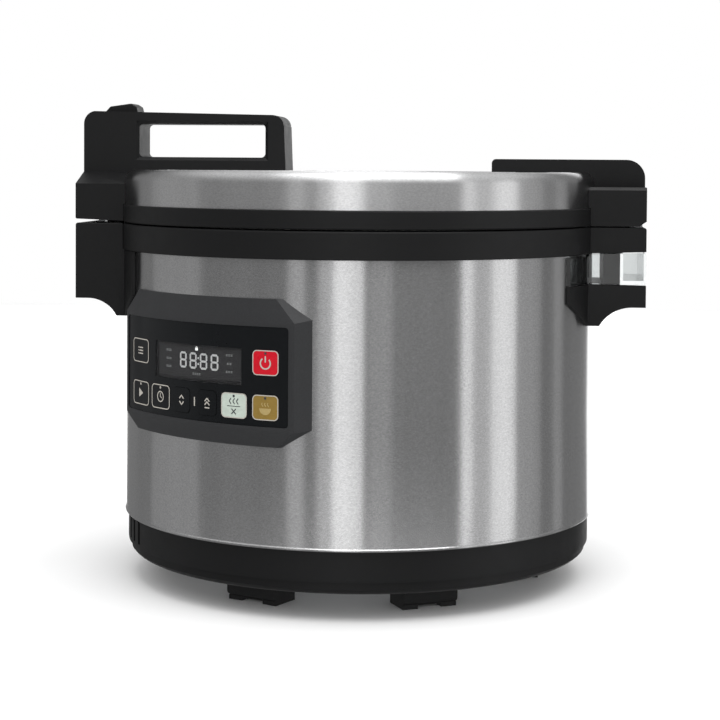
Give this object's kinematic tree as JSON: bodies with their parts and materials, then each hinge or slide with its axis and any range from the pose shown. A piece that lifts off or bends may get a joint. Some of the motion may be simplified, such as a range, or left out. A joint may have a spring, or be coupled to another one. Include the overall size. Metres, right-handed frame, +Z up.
{
  "type": "electric rice cooker",
  "caption": "Large round electric rice cooker with a hinged stainless lid, window grip handle, front control panel and pull-out dew cup.",
  "frame": {"origin": "on the floor under the centre of the body", "axes": "+Z up, +X from the latch handle towards the lid hinge, -Y the side that the control panel mostly faces"},
  "size_m": [0.523, 0.4451, 0.4372],
  "materials": {
    "stainless_body": "vertical fine brush",
    "stainless_lid": "circular fine brush",
    "black_plastic": "fine moulded texture",
    "panel_plastic": "fine moulded texture",
    "fascia_film": "glossy",
    "window_film": "smoked",
    "display_grey": "satin",
    "digit_white": "printed",
    "key_dark": "glossy",
    "key_red": "glossy",
    "key_gold": "glossy",
    "key_pale": "glossy",
    "clear_plastic": "clear",
    "silicone": "soft matte",
    "foot_rubber": "matte",
    "pot_alloy": "hard anodised",
    "cast_alloy": "machined",
    "sheet_alloy": "satin",
    "zinc_steel": "zinc plated",
    "heater_steel": "heat tinted",
    "glass_fibre": "needled blanket",
    "board_green": "solder mask",
    "inlet_black": "moulded",
    "pin_brass": "bright",
    "lead_red": "silicone sleeve",
    "fuse_white": "ceramic"
  },
  "bodies": {
    "body": {"base_ring": "black_plastic", "base_plate": "zinc_steel", "base_screws": "zinc_steel", "foot_1": "foot_rubber", "foot_2": "foot_rubber", "foot_3": "foot_rubber", "foot_4": "foot_rubber", "foot_5": "foot_rubber", "foot_6": "foot_rubber", "body_shell": "stainless_body", "body_ring": "black_plastic", "latch_block": "black_plastic", "hinge_block": "black_plastic", "inner_liner": "zinc_steel", "insulation": "glass_fibre", "band_heater": "heater_steel", "inner_pot": "pot_alloy", "heating_plate": "cast_alloy", "heating_element": "heater_steel", "plate_posts": "zinc_steel", "sensor_spring": "zinc_steel", "sensor_bracket": "zinc_steel", "thermal_fuse": "fuse_white", "power_board": "board_green", "power_inlet": "inlet_black", "inlet_pins": "pin_brass", "mains_leads": "lead_red", "panel_housing": "panel_plastic", "panel_fascia": "fascia_film", "display_window": "window_film", "display_digits": "digit_white", "display_module": "display_grey", "control_board": "board_green", "keeper": "zinc_steel", "hinge_bracket": "zinc_steel"},
    "lid": {"lid_ring": "black_plastic", "lid_cover": "stainless_lid", "lid_handle": "black_plastic", "hinge_cover": "black_plastic", "lid_pan": "zinc_steel", "inner_lid": "sheet_alloy", "lid_gasket": "silicone", "steam_tube": "black_plastic", "hook_pin": "zinc_steel", "hinge_pin": "zinc_steel", "button_spring": "zinc_steel", "balance_springs": "zinc_steel"},
    "release_button": {"release_button": "black_plastic"},
    "latch_hook": {"latch_hook": "zinc_steel"},
    "steam_cap": {"steam_cap": "black_plastic"},
    "dew_cup": {"dew_cup": "clear_plastic"},
    "temperature_sensor": {"temperature_sensor": "zinc_steel"},
    "key_menu": {"key_menu": "key_dark"},
    "key_start": {"key_start": "key_dark"},
    "key_preset": {"key_preset": "key_dark"},
    "key_hour": {"key_hour": "key_dark"},
    "key_minute": {"key_minute": "key_dark"},
    "key_keep_warm": {"key_keep_warm": "key_pale"},
    "key_cook": {"key_cook": "key_gold"},
    "key_power": {"key_power": "key_red"}
  },
  "joints": [
    {"name": "lid_hinge", "type": "hinge", "parent": "body", "child": "lid", "pos_m": [0.258, 0, 0.333], "axis": [0, 1, 0], "range_deg": [0, 82]},
    {"name": "release_press", "type": "slide", "parent": "lid", "child": "release_button", "axis": [0, 0, -1], "range_m": [0, 0.003], "stiffness_N_per_m": 1500, "springref_m": -0.002, "deforming": ["button_spring"]},
    {"name": "hook_swing", "type": "hinge", "parent": "lid", "child": "latch_hook", "pos_m": [-0.25, 0, 0.35], "axis": [0, 1, 0], "range_deg": [0, 7.5]},
    {"name": "steam_cap_lift", "type": "slide", "parent": "lid", "child": "steam_cap", "axis": [0, 0, 1], "range_m": [0, 0.03]},
    {"name": "dew_cup_pull", "type": "slide", "parent": "body", "child": "dew_cup", "axis": [1, 0, 0], "range_m": [0, 0.07]},
    {"name": "sensor_press", "type": "slide", "parent": "body", "child": "temperature_sensor", "axis": [0, 0, -1], "range_m": [0, 0.0015], "stiffness_N_per_m": 400, "springref_m": -0.003, "deforming": ["sensor_spring"]},
    {"name": "key_menu_press", "type": "slide", "parent": "body", "child": "key_menu", "axis": [0.7783, 0.6279, 0], "range_m": [0, 0.0008], "stiffness_N_per_m": 600, "springref_m": -0.0005},
    {"name": "key_start_press", "type": "slide", "parent": "body", "child": "key_start", "axis": [0.7771, 0.6294, 0], "range_m": [0, 0.0008], "stiffness_N_per_m": 600, "springref_m": -0.0005},
    {"name": "key_preset_press", "type": "slide", "parent": "body", "child": "key_preset", "axis": [0.6898, 0.724, 0], "range_m": [0, 0.0008], "stiffness_N_per_m": 600, "springref_m": -0.0005},
    {"name": "key_hour_press", "type": "slide", "parent": "body", "child": "key_hour", "axis": [0.6037, 0.7972, 0], "range_m": [0, 0.0008], "stiffness_N_per_m": 600, "springref_m": -0.0005},
    {"name": "key_minute_press", "type": "slide", "parent": "body", "child": "key_minute", "axis": [0.5066, 0.8622, 0], "range_m": [0, 0.0008], "stiffness_N_per_m": 600, "springref_m": -0.0005},
    {"name": "key_keep_warm_press", "type": "slide", "parent": "body", "child": "key_keep_warm", "axis": [0.4103, 0.912, 0], "range_m": [0, 0.0008], "stiffness_N_per_m": 600, "springref_m": -0.0005},
    {"name": "key_cook_press", "type": "slide", "parent": "body", "child": "key_cook", "axis": [0.3018, 0.9534, 0], "range_m": [0, 0.0008], "stiffness_N_per_m": 600, "springref_m": -0.0005},
    {"name": "key_power_press", "type": "slide", "parent": "body", "child": "key_power", "axis": [0.3018, 0.9534, 0], "range_m": [0, 0.0008], "stiffness_N_per_m": 600, "springref_m": -0.0005}
  ],
  "couplings": [
    {"joint": "hook_swing", "follows": "release_press", "rad_per_m": 43.633}
  ]
}
